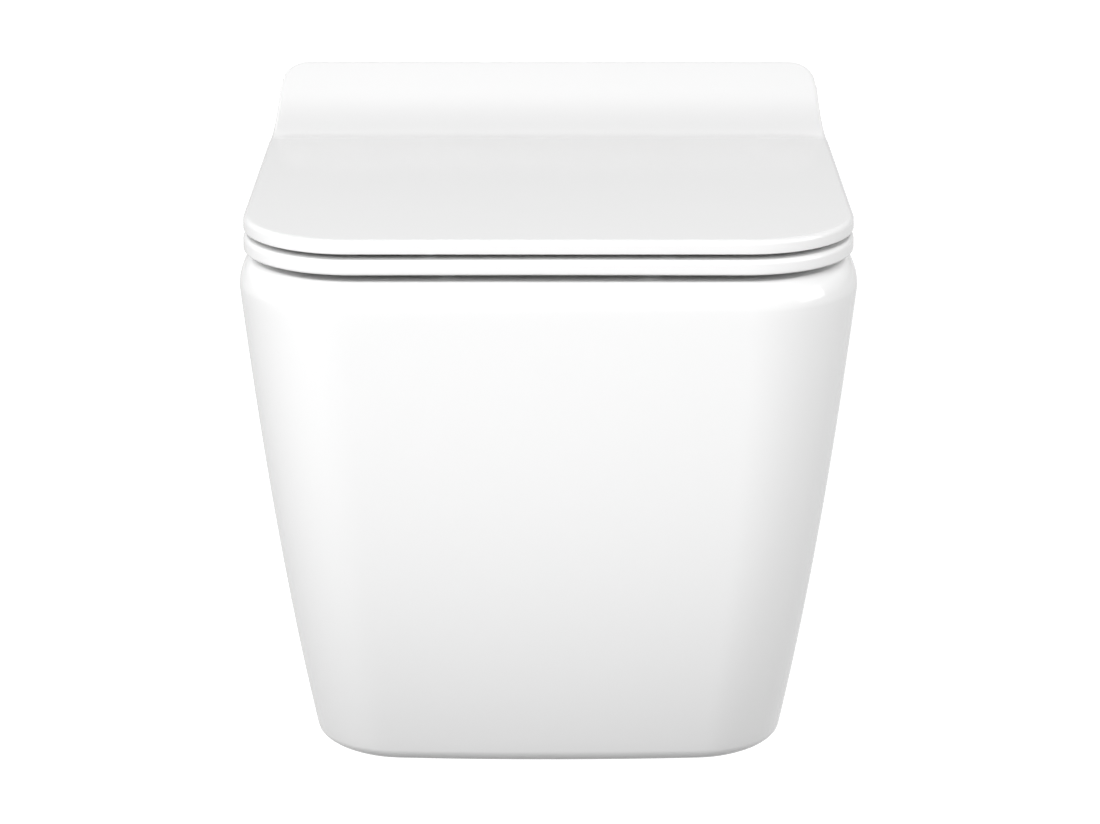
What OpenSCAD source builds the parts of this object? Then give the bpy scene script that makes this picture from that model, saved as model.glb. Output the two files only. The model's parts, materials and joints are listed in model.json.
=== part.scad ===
/* [Pan] */
// Widest width of the pan
pan_w = 370; // [355:1:385]
// Projection of the pan from the wall
pan_l = 500; // [485:1:530]
// Height of the rim above the line of the wall rods
rim_z = 80; // [78:1:88]
// Height of the pan from its underside to its rim
pan_h = 306; // [300:1:325]
// How much each side draws in from the shoulder to the underside
side_taper = 44; // [36:1:46]
// How far the foot of the front face stands back
front_taper = 50; // [40:1:60]
// How much narrower each side is at the wall
rear_draw = 7; // [0:0.5:9]
// Width of the curve at each front corner of the rim
corner_w = 66; // [56:1:74]
// Length of the curve at each front corner of the rim
corner_l = 90; // [76:1:100]
// Height of the rounded shoulder under the rim
shoulder_h = 17; // [14.5:0.5:22]
// How far the shoulder rounds inwards
shoulder_in = 8; // [5:0.5:10]
// Radius along the edge of the underside
foot_r = 8; // [5:0.5:11]
// Thickness of the ceramic walls
wall_t = 11; // [9:0.5:12]
// Thickness of the rim and of the deck behind the bowl
deck_t = 14; // [12:0.5:14.5]

/* [Bowl] */
// Width of the rim beside the bowl
rim_side = 47; // [43:1:52]
// Width of the rim in front of the bowl
rim_front = 47; // [43:1:55]
// Length of the deck from the wall to the bowl
deck_l = 143; // [140:1:150]
// Depth of the bowl from the rim to the floor of its sump
bowl_d = 230; // [226:1:236]
// Width of the sump floor
sump_w = 64; // [58:1:70]
// Length of the sump floor
sump_l = 70; // [64:1:76]
// Radius along the edge between the rim and the bowl
rim_r = 5; // [3:0.5:6]

/* [Water trap] */
// Radius of the waterway
trap_r = 28; // [26:0.5:29]
// Radius of the lower bend, along the middle of the waterway
sump_bend_r = 45; // [43:0.5:47]
// Radius of the upper bend, along the middle of the waterway
crest_bend_r = 40; // [39:0.5:42]
// Slope of the rising leg
rise_angle = 70; // [66:1:72]
// Thickness of the waterway's wall
trap_t = 9; // [8:0.5:10]

/* [Connections] */
// Distance between the two wall rods
rod_span = 180; // [180:1:190]
// Radius of the rods' holes in the fixing blocks
rod_hole_r = 6.5; // [6.2:0.1:7]
// Height of the flush inlet above the rods
inlet_z = 35; // [33:0.5:36]
// Radius of the flush inlet
inlet_r = 27.5; // [26:0.5:28]
// Depth of the flush inlet
inlet_l = 62; // [55:1:68]
// Depth of the waste outlet below the rods
outlet_z = 100; // [99:0.5:102]
// Outer radius of the waste outlet
outlet_r = 51; // [50:0.5:52]
// Length of the waste outlet's round chamber
outlet_l = 58; // [54:1:60]
// Length of the waste outlet that a connector slides over
outlet_free = 26; // [22:0.5:26]

/* [Seat and lid] */
// How much narrower each side of the lid is than the pan
lid_inset = 2.5; // [1:0.5:4]
// How far the front of the lid stands back from the front of the pan
lid_back = 2; // [0:0.5:4]
// Gap between the rim and the seat
seat_gap = 4.8; // [4.7:0.1:5.6]
// Thickness of the seat ring
seat_t = 9; // [8.5:0.1:10]
// Gap between the seat and the lid
lid_gap = 3; // [2.4:0.1:3.6]
// Thickness of the lid at its edge
lid_t = 8.7; // [8:0.1:10]
// Thickness of the lid's plate inside its edge
plate_t = 6; // [5:0.1:6.4]
// Width of the lid's thicker edge
lip_w = 9; // [7:0.5:12]
// Radius along the upper edges of the seat and the lid
edge_r = 3; // [2:0.1:3.8]
// Distance from the wall to the rear edge of the lid
lid_rear = 57; // [55:1:60]
// Distance from the wall to where the lid begins to rise
ramp_from = 153; // [147:1:157]
// Radius of the curve at the foot of the ramp
ramp_r = 125; // [118:1:130]
// Slope of the ramp
ramp_angle = 32; // [31:1:34]
// Radius of the lid's rear corners, seen from above
lid_corner_r = 17; // [15:1:23]
// Width of the seat's opening
hole_w = 216; // [205:1:226]
// Length of the seat's opening
hole_l = 258; // [246:1:268]
// Width of the seat ring in front of its opening
seat_front = 63; // [58:1:70]

/* [Hinges] */
// Distance between the two hinge posts
hinge_span = 155; // [145:1:165]
// Distance from the wall to the hinge posts
hinge_back = 76; // [75:1:78]
// Height of the hinge pins above the rim
pivot_h = 28; // [27.5:0.5:28.5]
// Radius of the hinge barrels and lugs
barrel_r = 9.5; // [9:0.1:9.8]
// Length of each hinge barrel
barrel_l = 39; // [38:0.5:42]
// Width of each lug of the seat and the lid
lug_w = 12; // [9:0.5:14]
// Radius of the hinge pins
pin_r = 4; // [3.5:0.1:4.2]
// Radius of the round posts
post_r = 7; // [6.9:0.1:7.3]
// Height of the posts above their flanges
post_h = 12.5; // [12.4:0.1:12.8]
// Radius of the flanges under the posts
flange_r = 20; // [18:0.5:20.5]
// Radius of the seat holes in the deck
seat_hole_r = 7; // [6.5:0.1:8]
// Travel of each release button
press = 2; // [1.8:0.1:2.2]

/* [Hidden] */
$fn = 72;

glaze = [0.95, 0.95, 0.93];
plastic_white = [0.93, 0.93, 0.92];
plastic_grey = [0.62, 0.64, 0.66];
plastic_dark = [0.25, 0.26, 0.28];
rubber = [0.32, 0.32, 0.33];
steel = [0.72, 0.73, 0.75];

// Clearances
fine_fit = 0.05;
running = 0.1;
loose = 0.2;
over = 1;

// Places that several pieces share
foot_z = rim_z - pan_h;
shoulder_z = rim_z - shoulder_h;
half_w = pan_w / 2;
deck_low = rim_z - deck_t;
seat_low = rim_z + seat_gap;
seat_top = seat_low + seat_t;
lid_low = seat_top + lid_gap;
lid_top = lid_low + lid_t;
lid_half = half_w - lid_inset;
lid_front = lid_back - pan_l;
pivot_y = -hinge_back;
pivot_z = rim_z + pivot_h;

// Right half of a rounded plan, from the middle of its front to the end of its rear corner
function half_plan(wide, front, wide_rear, rear, cw, cl, cr, side_ys, bow) = concat(
    [for (i = [1 : 3]) let (x = (wide - cw) * (i - 0.5) / 3.5) [x, front + bow * pow(x / wide, 2)]],
    [for (i = [0 : 9]) let (x = wide - cw + cw * sin(10 * i))
        [x, front + cl * (1 - cos(10 * i)) + bow * pow(x / wide, 2)]],
    [for (y = side_ys) let (share = (y - side_ys[0]) / (rear - side_ys[0]))
        [wide + (wide_rear - wide) * share, y]],
    [for (a = [0 : 30 : 90]) [wide_rear + cr * (cos(a) - 1), rear + cr * (sin(a) - 1)]]);

function whole_plan(half) = concat(half, [for (i = [len(half) - 1 : -1 : 0]) [-half[i].x, half[i].y]]);

function lifted(plan, z) = [for (p = plan) [p.x, p.y, z]];

// Unit vector into the plan at one of its points
function inward(plan, i) = let (n = len(plan), d = plan[(i + 1) % n] - plan[(i + n - 1) % n])
    [-d.y, d.x] / norm(d);

// Solid through level rings of equal count, lowest first
module stacked(rings) {
    n = len(rings[0]);
    m = len(rings);
    walls = [for (j = [0 : m - 2]) for (i = [0 : n - 1]) let (a = j * n + i, b = j * n + (i + 1) % n)
        each [[a, a + n, b + n], [a, b + n, b]]];
    polyhedron(
        points = [for (r = rings) each r],
        faces = concat(
            [[for (i = [0 : n - 1]) (i + 8) % n]],
            walls,
            [[for (i = [n - 1 : -1 : 0]) (m - 1) * n + (i + 8) % n]]),
        convexity = 8);
}

// Ring through upright sections of equal count, each section closed on itself
module hooped(sections) {
    n = len(sections);
    m = len(sections[0]);
    polyhedron(
        points = [for (s = sections) each s],
        faces = [for (i = [0 : n - 1]) for (j = [0 : m - 1]) let (
                a = i * m + j,
                b = i * m + (j + 1) % m,
                c = (i + 1) % n * m + (j + 1) % m,
                d = (i + 1) % n * m + j)
            each [[a, b, c], [a, c, d]]],
        convexity = 8);
}

// Plate whose edge is a row of open sections; its faces run straight across from side to side
module plated(sections, flat_to) {
    n = len(sections);
    m = len(sections[0]);
    function at(i, j) = (i + n) % n * m + j;
    function front_face(j) = [for (i = [-1 - flat_to : flat_to]) at(i, j)];
    function strips(j) = [for (i = [flat_to : n / 2 - 2])
        [at(i, j), at(i + 1, j), at(-2 - i, j), at(-1 - i, j)]];
    function turned(faces) = [for (f = faces) [for (k = [len(f) - 1 : -1 : 0]) f[k]]];
    edge = [for (i = [0 : n - 1]) for (j = [0 : m - 2])
        each [[at(i, j), at(i, j + 1), at(i + 1, j + 1)], [at(i, j), at(i + 1, j + 1), at(i + 1, j)]]];
    polyhedron(
        points = [for (s = sections) each s],
        faces = concat([front_face(0)], strips(0), edge, turned(concat([front_face(m - 1)], strips(m - 1)))),
        convexity = 8);
}

module bar_x(from, to, r) {
    translate([from, 0, 0]) rotate([0, 90, 0]) cylinder(h = to - from, r = r);
}

module bar_y(from, to, r) {
    translate([0, from, 0]) rotate([-90, 0, 0]) cylinder(h = to - from, r = r);
}

module bar_z(from, to, r) {
    translate([0, 0, from]) cylinder(h = to - from, r = r);
}

module block(low, high) {
    translate(low) cube(high - low);
}

// Flat shape in the Y-Z plane with a thickness along X
module slab_x(from, to, outline) {
    translate([from, 0, 0]) rotate([90, 0, 90]) linear_extrude(to - from) polygon(outline);
}

module on_both_sides() {
    children();
    mirror([1, 0, 0]) children();
}

// Pan outside
front_bow = 8;
corner_fade = [20, 28];

function drop(z) = min(1, max(0, (shoulder_z - z) / (shoulder_z - foot_z)));
function half_at(z) = half_w - side_taper * (0.8 * drop(z) + 0.2 * pow(drop(z), 2));
function front_at(z) = front_taper * (0.24 * drop(z) + 0.76 * pow(drop(z), 3)) - pan_l;
function corner_end(z) = front_at(z) + corner_l + (front_bow - corner_fade.y) * drop(z);

function pan_plan(z, inset, rear) = let (from = corner_end(z) + 12) whole_plan(half_plan(
    half_at(z) - inset,
    front_at(z) + inset,
    half_at(z) - rear_draw - inset,
    rear,
    corner_w - corner_fade.x * drop(z),
    corner_l - corner_fade.y * drop(z),
    2,
    [from, from * 0.7, from * 0.4, from * 0.15],
    front_bow * drop(z)));

module pan_skin() {
    foot = [for (a = [0 : 30 : 60]) [foot_z + foot_r * (1 - cos(a)), foot_r * (1 - sin(a))]];
    side = [for (i = [0 : 13]) [foot_z + foot_r + (shoulder_z - foot_z - foot_r) * i / 13, 0]];
    shoulder = [for (a = [18 : 18 : 90]) [shoulder_z + shoulder_h * sin(a), shoulder_in * (1 - cos(a))]];
    stacked([for (level = concat(foot, side, shoulder)) lifted(pan_plan(level[0], level[1], 0), level[0])]);
}

module pan_hollow() {
    low = foot_z + wall_t;
    stacked([for (i = [0 : 9]) let (z = low + (deck_low - low) * i / 9) lifted(pan_plan(z, wall_t, 4), z)]);
}

// Bowl
sump_back = 53;
sump_z = rim_z - bowl_d;
sump_rear = -deck_l - sump_back;
sump_y = sump_rear - sump_l / 2;

function bowl_half(u) = sump_w / 2 + (half_w - rim_side - sump_w / 2) * (1 - pow(u, 1.8));
function bowl_front(u) = sump_rear - sump_l + (rim_front - pan_l - sump_rear + sump_l) * (1 - u * u);
function bowl_rear(u) = -deck_l - sump_back * u * u;
function rounded(v, power) = sign(v) * pow(abs(v), 2 / power);

function bowl_plan(u, grow) = let (
        power = 3.2 - 1.2 * u,
        mid = (bowl_front(u) + bowl_rear(u)) / 2,
        reach = (bowl_rear(u) - bowl_front(u)) / 2 + grow)
    [for (i = [0 : 43]) let (a = 360 * (i + 0.5) / 44 - 90)
        [(bowl_half(u) + grow) * rounded(cos(a), power), mid + reach * rounded(sin(a), power)]];

module bowl_space() {
    depth = [for (i = [12 : -1 : 0]) rim_r + (bowl_d - rim_r) * i / 12];
    edge = [for (a = [30 : 30 : 90]) [rim_r * (1 - sin(a)), rim_r * (1 - cos(a))]];
    stacked(concat(
        [for (d = depth) lifted(bowl_plan(d / bowl_d, 0), rim_z - d)],
        [for (e = edge) lifted(bowl_plan(e[0] / bowl_d, e[1]), rim_z - e[0])],
        [lifted(bowl_plan(0, rim_r), rim_z + over)]));
}

module bowl_wall() {
    top = deck_t - 4;
    stacked([for (i = [12 : -1 : 0]) let (d = top + (bowl_d - top) * i / 12)
        lifted(bowl_plan(d / bowl_d, wall_t), rim_z - d - wall_t * i / 12)]);
}

// Waterway
sump_bend_y = sump_y + sump_bend_r;
sump_bend_z = sump_z + 33;
rise_end = 270 + rise_angle;
crest_start = 90 + rise_angle;
fall_angle = 40;
fall_l = 30;
leg_y = sump_bend_y + sump_bend_r * cos(rise_end);
leg_z = sump_bend_z + sump_bend_r * sin(rise_end);
crest_z = 4 - outlet_z;
leg_l = (crest_z + crest_bend_r * sin(crest_start) - leg_z) / sin(rise_angle);
crest_y = leg_y + leg_l * cos(rise_angle) - crest_bend_r * cos(crest_start);
fall_y = crest_y + crest_bend_r * cos(fall_angle);
fall_z = crest_z + crest_bend_r * sin(fall_angle);
chamber_r = outlet_r - 8;
outlet_collar = 2.5;

// Stations along the middle of the waterway: Y, Z and the direction the water takes there
function bend_stations(y, z, bend_r, angles, turn) =
    [for (a = angles) [y + bend_r * cos(a), z + bend_r * sin(a), a + turn]];

waterway_path = concat(
    bend_stations(sump_bend_y, sump_bend_z, sump_bend_r, [for (i = [0 : 10]) 180 + (rise_end - 180) * i / 10], 90),
    bend_stations(crest_y, crest_z, crest_bend_r,
        [for (i = [0 : 8]) crest_start + (fall_angle - crest_start) * i / 8], -90),
    [[fall_y + fall_l * sin(fall_angle), fall_z - fall_l * cos(fall_angle), fall_angle - 90]]);

module waterway(r) {
    stacked([for (s = waterway_path) [for (i = [0 : 27]) let (a = 360 * i / 28)
        [r * cos(a), s[0] + r * sin(a) * sin(s[2]), s[1] - r * sin(a) * cos(s[2])]]]);
}

// Flush inlet and its duct
duct_w = 60;
duct_low = inlet_z - 3;
duct_high = inlet_z + 23;
duct_end = -deck_l - 7;

// Wall kit
bulkhead_t = 14;
bulkhead_low = -40;
block_size = [44, 30, 40];
sleeve_r = 10.8;
side_y = -29;
side_x = half_at(0) - rear_draw * (1 - side_y / (corner_end(0) + 12));
side_lean = atan(side_taper * (0.8 + 0.4 * drop(0)) / (shoulder_z - foot_z));
cap_head_r = 10;
cap_head_t = 2.5;
cap_plug_r = 7.3;
clamp_r = 4;

module bulkhead() {
    levels = [for (i = [0 : 6]) bulkhead_low + (deck_low + 3 - bulkhead_low) * i / 6];
    edge = [for (z = levels) [half_at(z) - rear_draw - wall_t / 2, z]];
    rotate([90, 0, 0]) linear_extrude(bulkhead_t)
        polygon(concat(edge, [for (i = [len(edge) - 1 : -1 : 0]) [-edge[i].x, edge[i].y]]));
}

module at_side() {
    on_both_sides() translate([side_x, side_y, 0]) rotate([0, 90 + side_lean, 0]) children();
}

module at_rods() {
    for (x = [-rod_span / 2, rod_span / 2]) translate([x, 0, 0]) children();
}

module ceramic_pan() color(glaze) difference() {
    union() {
        difference() {
            pan_skin();
            pan_hollow();
        }
        bulkhead();
        bowl_wall();
        waterway(trap_r + trap_t);
            translate([0, 0, -outlet_z]) {
            bar_y(-outlet_l - 8, 0, outlet_r);
            bar_y(-outlet_l - 8, -outlet_free, outlet_r + outlet_collar);
        }
        translate([0, 0, inlet_z]) bar_y(-inlet_l - 6, -over, inlet_r + 10);
        block([-duct_w / 2 - 10, -deck_l + 3, duct_low - 10], [duct_w / 2 + 10, -inlet_l + 2, deck_low + 2]);
    }
    bowl_space();
    waterway(trap_r);
    translate([0, 0, -outlet_z]) bar_y(-outlet_l, over, chamber_r);
    translate([0, 0, inlet_z]) bar_y(-inlet_l, over, inlet_r);
    block([-duct_w / 2, duct_end, duct_low], [duct_w / 2, -inlet_l + 4, duct_high]);
    at_rods() bar_y(-bulkhead_t - over, over, sleeve_r + loose);
    at_hinge_posts() bar_z(deck_low - over, rim_z + over, seat_hole_r);
    at_side() {
        bar_z(-cap_head_t, 6, cap_head_r + 0.3);
        bar_z(-wall_t - 6, 0, cap_plug_r + loose);
    }
}

// Splitter that sends the flush water round both sides of the bowl
module flow_splitter() color(plastic_grey) {
    half = duct_w / 2 - 0.25;
    low = duct_low + 0.25;
    high = duct_high - 0.25;
    mouth = -deck_l - 3;
    difference() {
        block([-half, mouth, low], [half, mouth + 24, high]);
        block([-half + 3, mouth - over, low + 3], [-2, mouth + 25, high - 3]);
        block([2, mouth - over, low + 3], [half - 3, mouth + 25, high - 3]);
    }
    block([-2, mouth - 8, low + 3], [2, mouth + 0.5, high - 3]);
    block([-half + 2, mouth - 11, low + 1], [half - 2, mouth - 8, high]);
}

// Left and right fixing blocks on the wall rods
module fixing_block(side) color(plastic_dark) translate([side * rod_span / 2, 0, 0]) difference() {
    block([-block_size.x / 2, -bulkhead_t - block_size.y, -block_size.z / 2],
        [block_size.x / 2, -bulkhead_t, block_size.z / 2]);
    bar_y(-bulkhead_t - block_size.y - over, -bulkhead_t + over, rod_hole_r);
    mirror([side < 0 ? 1 : 0, 0, 0]) translate([0, side_y, 0]) bar_x(0, block_size.x, clamp_r);
    for (z = [-1, 1]) block([-12, -bulkhead_t - block_size.y - over, z * 16 - 1.5],
        [12, -bulkhead_t - block_size.y + 20, z * 16 + 1.5]);
}

module fixing_block_left() fixing_block(-1);

module fixing_block_right() fixing_block(1);

module rod_sleeves() color(plastic_grey) at_rods() difference() {
    bar_y(-bulkhead_t, -0.2, sleeve_r);
    bar_y(-bulkhead_t - over, over, rod_hole_r);
}

module clamp_screws() color(steel) on_both_sides() translate([rod_span / 2, side_y, 0]) difference() {
    bar_x(rod_hole_r + 0.7, side_x - wall_t - rod_span / 2 - 4, clamp_r);
    translate([side_x - wall_t - rod_span / 2 - 10, 0, 0]) rotate([0, 90, 0])
        cylinder(h = 10, r = 2.3, $fn = 6);
}

module side_caps() color(plastic_white) at_side() {
    bar_z(-cap_head_t, 0, cap_head_r);
    bar_z(-cap_head_t - 9, -cap_head_t + 0.5, cap_plug_r);
}

// Hinge bases on the deck
gasket_t = 1;
flange_t = 3.5;
base_z = rim_z + gasket_t;
flange_z = base_z + flange_t;
screw_r = 3;
head_r = 5;
head_t = 6;
head_z = flange_z + 6.1;
groove_r = 5;
groove_z = flange_z + 2.5;
groove_h = 2.2;
sleeve_low = deck_low - 12;
nut_low = sleeve_low - 8;

module at_hinge(side) {
    translate([side * hinge_span / 2, pivot_y, 0]) children();
}

module at_hinge_posts() {
    at_hinge(-1) children();
    at_hinge(1) children();
}

module hinge_base(side) color(steel) at_hinge(side) difference() {
    union() {
        bar_z(base_z, flange_z, flange_r);
        bar_z(base_z + over, flange_z + post_h, post_r);
    }
    bar_z(base_z - over, flange_z + post_h + over, screw_r + loose);
    bar_z(head_z, flange_z + post_h + over, head_r + loose);
    difference() {
        bar_z(groove_z, groove_z + groove_h, post_r + over);
        bar_z(groove_z - over, groove_z + groove_h + over, groove_r);
    }
}

module hinge_base_left() hinge_base(-1);

module hinge_base_right() hinge_base(1);

module base_gaskets() color(rubber) at_hinge_posts() difference() {
    bar_z(rim_z, base_z, flange_r - 1);
    bar_z(rim_z - over, base_z + over, seat_hole_r + 0.5);
}

module base_screws() color(steel) at_hinge_posts() difference() {
    union() {
        bar_z(head_z, head_z + head_t, head_r);
        bar_z(nut_low - 2, head_z + over, screw_r);
    }
    translate([0, 0, head_z + 3]) cylinder(h = 4, r = 2.9, $fn = 6);
}

module expansion_sleeves() color(rubber) at_hinge_posts() difference() {
    union() {
        bar_z(sleeve_low, base_z - 0.2, seat_hole_r - loose);
        bar_z(sleeve_low + 2, deck_low - 1, seat_hole_r + 1.6);
    }
    bar_z(sleeve_low - over, base_z + over, screw_r + loose);
}

module clamp_nuts() color(steel) at_hinge_posts() difference() {
    bar_z(nut_low, sleeve_low, seat_hole_r - 0.5);
    bar_z(nut_low - over, sleeve_low + over, screw_r);
}

// Hinge bodies with their barrels, seen from the post at x = 0
body_z = flange_z + running;
body_top = flange_z + 13.5;
body_front = -16;
body_back = 14;
front_wall = 2;
socket_top = flange_z + post_h + 0.4;
end_wall = 5;
damper_r = 7.4;
damper_l = barrel_l - end_wall - 1;
damper_from = -barrel_l / 2 + end_wall + 0.3;
damper_to = damper_from + damper_l;
chamber_from = damper_from + 4;
chamber_to = damper_to - 5;
lug_gap = 0.5;
lug_in = barrel_l / 2 + lug_gap;
lug_out = lug_in + lug_w;
flat_half = 3;
bush_r = pin_r + 1.5;
pocket_half = 10;
pocket_back = -4;
pocket_top = flange_z + 6.4;
window_half = 8.5;
clip_r = 0.9;
clip_half = groove_r + 0.1 + clip_r;
clip_z = groove_z + groove_h / 2;
nose_half = 8;
nose_out = 2.5;
rib_half = 9.6;
button_low = flange_z + 0.3;
button_high = pocket_top - running;
finger_in = 3.4;
finger_tip = -post_r - press - running;
clip_short = 0.6;
clip_play = 0.3;

module hinge_body(side) color(steel) at_hinge(side) difference() {
    union() {
        block([-barrel_l / 2, body_front, body_z], [barrel_l / 2, body_back, body_top]);
        block([-barrel_l / 2, -barrel_r + 0.3, body_top - over], [barrel_l / 2, barrel_r - 0.3, pivot_z]);
        translate([0, 0, pivot_z]) bar_x(-barrel_l / 2, barrel_l / 2, barrel_r);
    }
    bar_z(body_z - over, socket_top, post_r + loose);
    translate([0, 0, pivot_z]) {
        bar_x(-barrel_l / 2 + end_wall, barrel_l / 2 + over, damper_r + running);
        bar_x(-barrel_l / 2 - over, -barrel_l / 2 + end_wall + over, pin_r);
    }
    block([-pocket_half, body_front + front_wall, body_z - over], [pocket_half, pocket_back, pocket_top]);
    block([-window_half, body_front - over, body_z - over], [window_half, body_front + 3, pocket_top]);
    block([-pocket_half, pocket_back - over, clip_z - 1.2], [pocket_half, 0, clip_z + 1.2]);
}

module hinge_body_left() hinge_body(-1);

module hinge_body_right() hinge_body(1);

// Dampers in the barrels: a closed case with a bore for its shaft
module damper(side) color(plastic_dark) at_hinge(side) translate([0, 0, pivot_z]) difference() {
    bar_x(damper_from, damper_to, damper_r);
    bar_x(chamber_from, chamber_to, damper_r - 1.2);
    bar_x(chamber_to - over, damper_to + over, pin_r + running);
}

module seat_damper() damper(-1);

module lid_damper() damper(1);

module damper_shaft(side) color(steel) at_hinge(side) translate([0, 0, pivot_z]) {
    bar_x(chamber_from + 0.5, chamber_to - 0.5, damper_r - 1.5);
    bar_x(chamber_to - over, lug_in, pin_r);
    intersection() {
        bar_x(lug_in - over, lug_out, pin_r);
        block([lug_in - over, -pin_r - over, -flat_half], [lug_out + over, pin_r + over, flat_half]);
    }
}

module seat_damper_shaft() damper_shaft(-1);

module lid_damper_shaft() damper_shaft(1);

module pivot_pin(side) color(steel) at_hinge(side) translate([0, 0, pivot_z])
    bar_x(-lug_out, -barrel_l / 2 + end_wall, pin_r);

module seat_pivot_pin() pivot_pin(1);

module lid_pivot_pin() pivot_pin(-1);

module bush(side) color(plastic_grey) at_hinge(side) translate([0, 0, pivot_z]) difference() {
    bar_x(-lug_out, -lug_in, bush_r);
    bar_x(-lug_out - over, -lug_in + over, pin_r + running);
}

module seat_bush() bush(1);

module lid_bush() bush(-1);

// Spring clips that hold the hinge bodies on their posts
module latch_clip(side) color(steel) at_hinge(side) translate([0, 0, clip_z]) {
    rotate_extrude(angle = 180) translate([clip_half, 0]) circle(clip_r, $fn = 24);
    for (x = [-clip_half, clip_half]) translate([x, 0, 0]) bar_y(finger_tip + clip_short, 0, clip_r, $fn = 24);
}

module latch_clip_left() latch_clip(-1);

module latch_clip_right() latch_clip(1);

// Release buttons, whose wedges reach between the clips' ends and meet them at full press
module release_button(side) color(plastic_grey) at_hinge(side) {
    block([-nose_half, body_front - nose_out, button_low], [nose_half, body_front + 3, button_high]);
    block([-rib_half, body_front + front_wall + 0.2, button_low], [rib_half, finger_tip - 2.7, button_high]);
    translate([0, 0, clip_z - clip_r]) linear_extrude(2 * clip_r) {
        finger();
        mirror([1, 0]) finger();
    }
}

module finger() {
    tip_out = clip_half - clip_r - clip_play;
    face_from = finger_tip + clip_short - press - clip_play;
    polygon([[finger_in, finger_tip - 3], [9, finger_tip - 3], [9, finger_tip - 2.7],
        [tip_out, face_from], [tip_out, finger_tip], [finger_in, finger_tip]]);
}

module release_button_left() release_button(-1);

module release_button_right() release_button(1);

// Seat ring
seat_half = lid_half;
seat_nose = lid_front - 1;
seat_rear = -98;
seat_drop = 2;
seat_flat = 28;
seat_foot_r = 1.5;

function seat_outer() = whole_plan(half_plan(seat_half, seat_nose, seat_half - 1.5, seat_rear,
    corner_w, corner_l, 15, [-ramp_from - 180, -ramp_from - 60, -ramp_from], 0));

function seat_inner() = let (front = seat_nose + seat_front) whole_plan(half_plan(
    hole_w / 2, front, hole_w / 2 - 6, front + hole_l,
    0.86 * hole_w / 2, 0.46 * hole_l, 46, [front + 0.5 * hole_l, front + 0.62 * hole_l, front + 0.74 * hole_l], 0));

module lug_eyes(side) {
    at_hinge(side) translate([0, 0, pivot_z]) children();
}

module seat_ring() color(plastic_white) {
    outer = seat_outer();
    inner = seat_inner();
    arm = [[-36, -21.5], [-20, -21.5], [-5, -8.2], [0, -barrel_r + 0.3], [0, 5], [-7.4, 5], [-24, -15.5], [-36, -15.5]];
    difference() {
        union() {
            hooped([for (i = [0 : len(outer) - 1]) let (
                    d = inner[i] - outer[i],
                    w = norm(d),
                    v = d / w,
                    rim = [for (a = [0 : 30 : 90]) [edge_r * (1 - cos(a)), seat_top - edge_r * (1 - sin(a))]],
                    lip = [for (a = [90 : -30 : 0]) [w - edge_r * (1 - cos(a)),
                        seat_top - seat_drop - edge_r * (1 - sin(a))]],
                    section = concat([[seat_foot_r, seat_low], [0, seat_low + seat_foot_r]], rim,
                        [[seat_flat, seat_top]], lip,
                        [[w, seat_low + seat_foot_r], [w - seat_foot_r, seat_low]]))
                [for (s = section) [outer[i].x + v.x * s[0], outer[i].y + v.y * s[0], s[1]]]]);
            lug_eyes(-1) {
                bar_x(lug_in, lug_out, barrel_r);
                slab_x(lug_in, lug_out, arm);
            }
            lug_eyes(1) {
                bar_x(-lug_out, -lug_in, barrel_r);
                slab_x(-lug_out, -lug_in, arm);
            }
        }
        lug_eyes(-1) flat_sided_hole();
        lug_eyes(1) bar_x(-lug_out - over, -lug_in + over, bush_r);
        at_seat_buffers() bar_z(seat_low - over, seat_low + 4.2, 2.5);
    }
}

module flat_sided_hole() {
    intersection() {
        bar_x(lug_in - over, lug_out + over, pin_r + fine_fit);
        block([lug_in - over, -pin_r - over, -flat_half - fine_fit],
            [lug_out + over, pin_r + over, flat_half + fine_fit]);
    }
}

module at_seat_buffers() {
    on_both_sides() {
        translate([half_w - rim_side / 2 - 8, -deck_l - 35, 0]) children();
        translate([hole_w / 2 - 48, rim_front * 0.6 - pan_l, 0]) children();
    }
}

module seat_buffers() color(rubber) at_seat_buffers() {
    bar_z(rim_z + loose, seat_low, 7);
    bar_z(seat_low - 0.5, seat_low + 4, 2.5);
}

// Lid
wall_share = [0, 0.34, 0.67, 1];

function ramp(y) = let (d = y + ramp_from, reach = ramp_r * sin(ramp_angle))
    d <= 0 ? 0
    : d < reach ? ramp_r - sqrt(ramp_r * ramp_r - d * d)
    : ramp_r * (1 - cos(ramp_angle)) + (d - reach) * tan(ramp_angle);

function lid_plan() = whole_plan(half_plan(lid_half, lid_front, lid_half - 4.5, -lid_rear,
    corner_w, corner_l, lid_corner_r,
    [for (i = [0 : 8]) -ramp_from + (ramp_from - lid_rear - lid_corner_r - 4) * i / 8], 0));

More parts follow.
